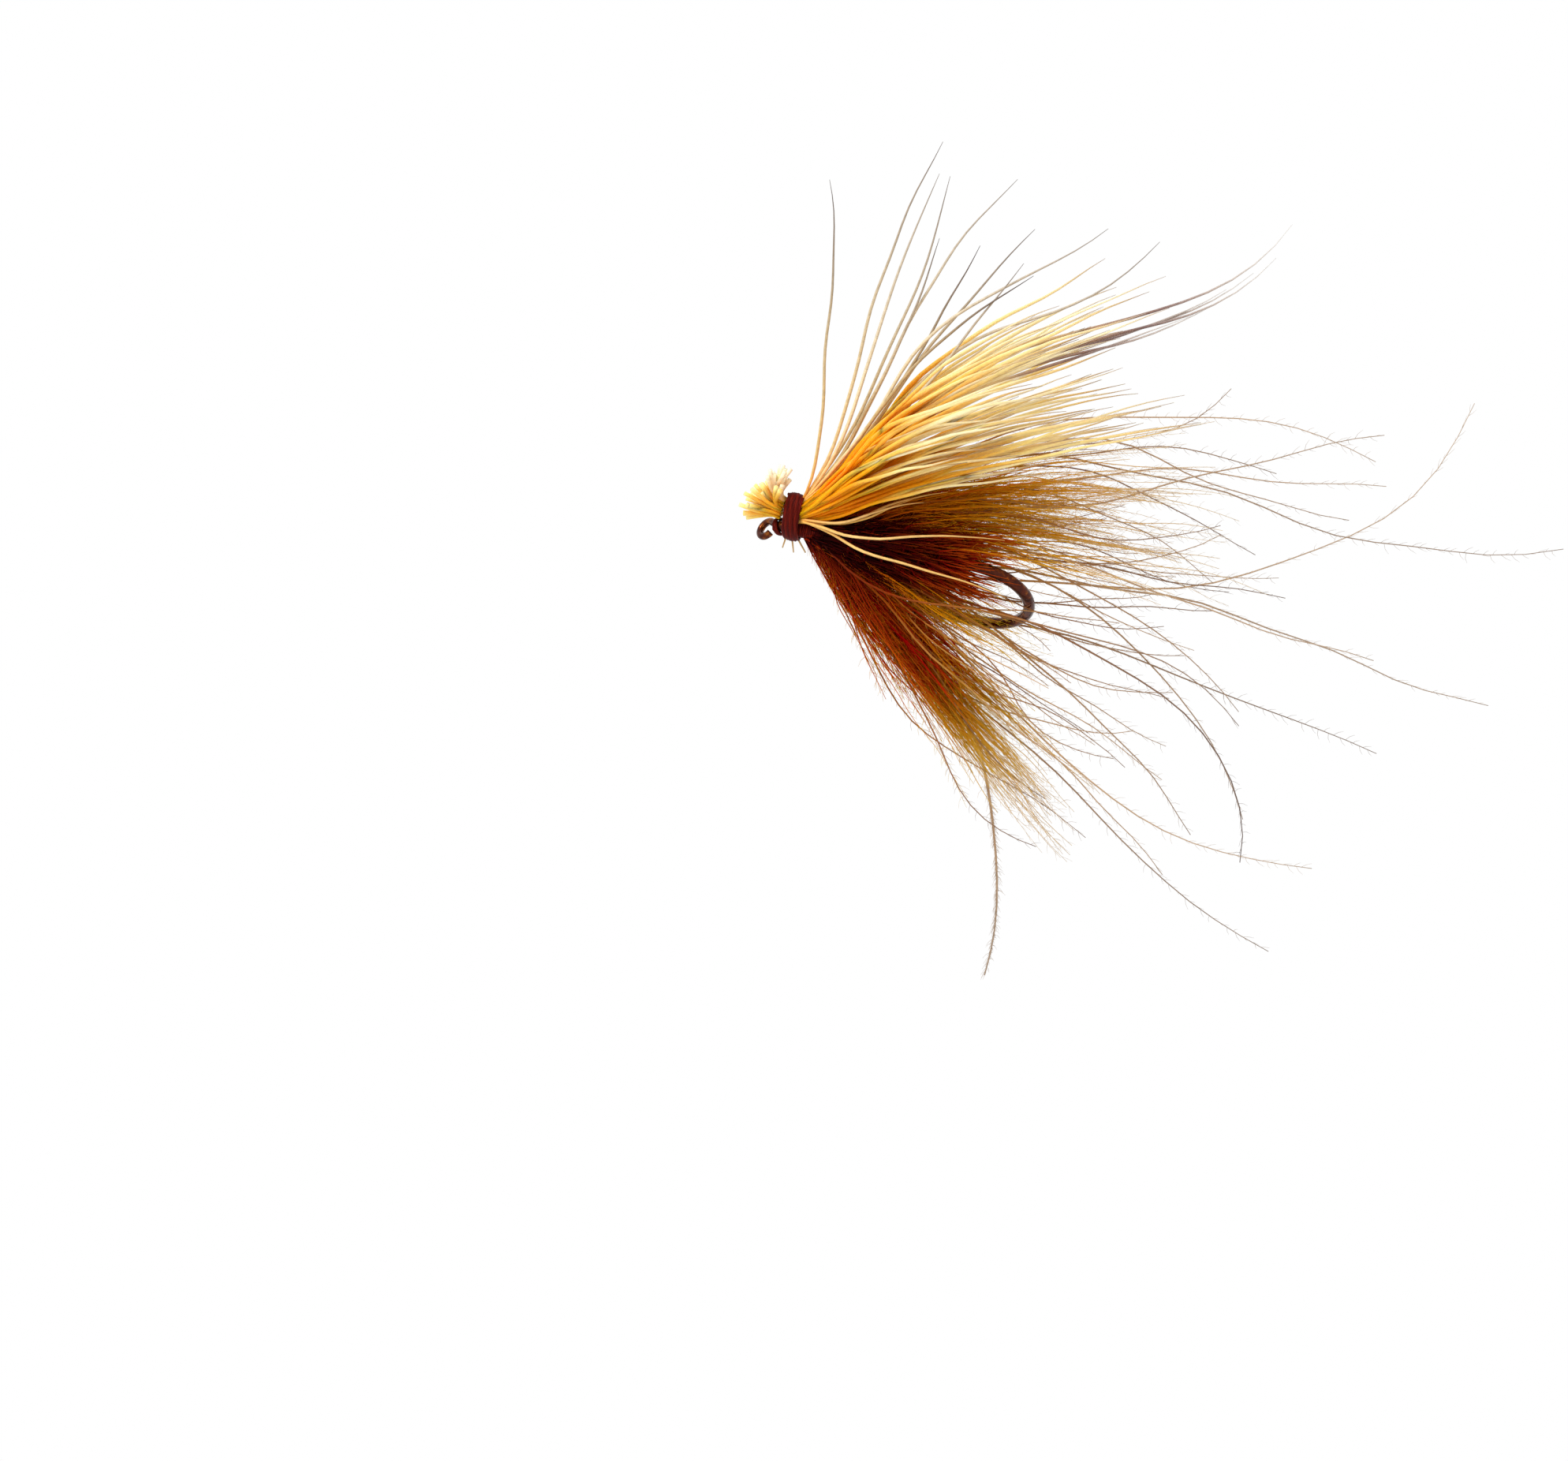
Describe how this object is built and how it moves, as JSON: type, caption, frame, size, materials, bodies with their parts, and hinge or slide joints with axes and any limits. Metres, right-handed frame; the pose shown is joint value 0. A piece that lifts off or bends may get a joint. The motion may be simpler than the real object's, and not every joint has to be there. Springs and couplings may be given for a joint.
{
  "type": "dry fishing fly",
  "caption": "Hand-tied dry fishing fly: a flared deer-hair wing with a trimmed hair head over a soft down body and hackle, on a down-eyed wire hook.",
  "frame": {"origin": "centre of the hook's eye, where the tippet is tied", "axes": "+X runs back along the hook shank from the eye to the bend, +Z is the wing side with the hook point hanging towards -Z, and the hook lies in the XZ plane"},
  "size_m": [0.0281, 0.0219, 0.024],
  "materials": {
    "hook_wire": "bronzed steel wire, near-black to red-brown",
    "tying_thread": "waxed, dark red-brown",
    "down_barbs": "soft down, dark red-brown to amber",
    "quill_skin": "natural feather quill, dyed",
    "deer_hair": "hollow hair, gold at the root to grey-brown tips"
  },
  "bodies": {
    "root": {"hook": "hook_wire", "thread_underbody": "tying_thread", "thread_collar": "tying_thread", "whip_finish_wraps": "tying_thread", "wound_feather_body": "down_barbs", "feather_quill": "quill_skin", "wing_lock_1": "deer_hair", "wing_lock_2": "deer_hair", "wing_lock_3": "deer_hair", "wing_lock_4": "deer_hair", "wing_lock_5": "deer_hair", "wing_lock_6": "deer_hair", "wing_lock_7": "deer_hair", "wing_lock_8": "deer_hair", "wing_lock_9": "deer_hair", "wing_lock_10": "deer_hair", "wing_lock_11": "deer_hair", "wing_lock_12": "deer_hair", "wing_lock_13": "deer_hair", "wing_lock_14": "deer_hair", "wing_lock_15": "deer_hair", "wing_lock_16": "deer_hair", "wing_lock_17": "deer_hair", "wing_lock_18": "deer_hair", "wing_hair_1": "deer_hair", "wing_hair_2": "deer_hair", "wing_hair_3": "deer_hair", "wing_hair_4": "deer_hair", "wing_hair_5": "deer_hair", "wing_hair_6": "deer_hair", "wing_hair_7": "deer_hair", "wing_hair_8": "deer_hair", "hackle_lock_1": "down_barbs", "hackle_lock_2": "down_barbs", "hackle_lock_3": "down_barbs", "hackle_lock_4": "down_barbs", "hackle_lock_5": "down_barbs", "hackle_lock_6": "down_barbs", "hackle_lock_7": "down_barbs", "hackle_lock_8": "down_barbs", "hackle_lock_9": "down_barbs", "hackle_lock_10": "down_barbs", "hackle_lock_11": "down_barbs", "hackle_lock_12": "down_barbs", "hackle_lock_13": "down_barbs", "hackle_lock_14": "down_barbs", "hackle_fibre_1": "down_barbs", "hackle_fibre_2": "down_barbs", "hackle_fibre_3": "down_barbs", "hackle_fibre_4": "down_barbs", "hackle_fibre_5": "down_barbs", "hackle_fibre_6": "down_barbs", "hackle_fibre_7": "down_barbs", "hackle_fibre_8": "down_barbs", "trimmed_barb_1": "down_barbs", "trimmed_barb_2": "down_barbs", "trimmed_barb_3": "down_barbs"}
  },
  "joints": []
}
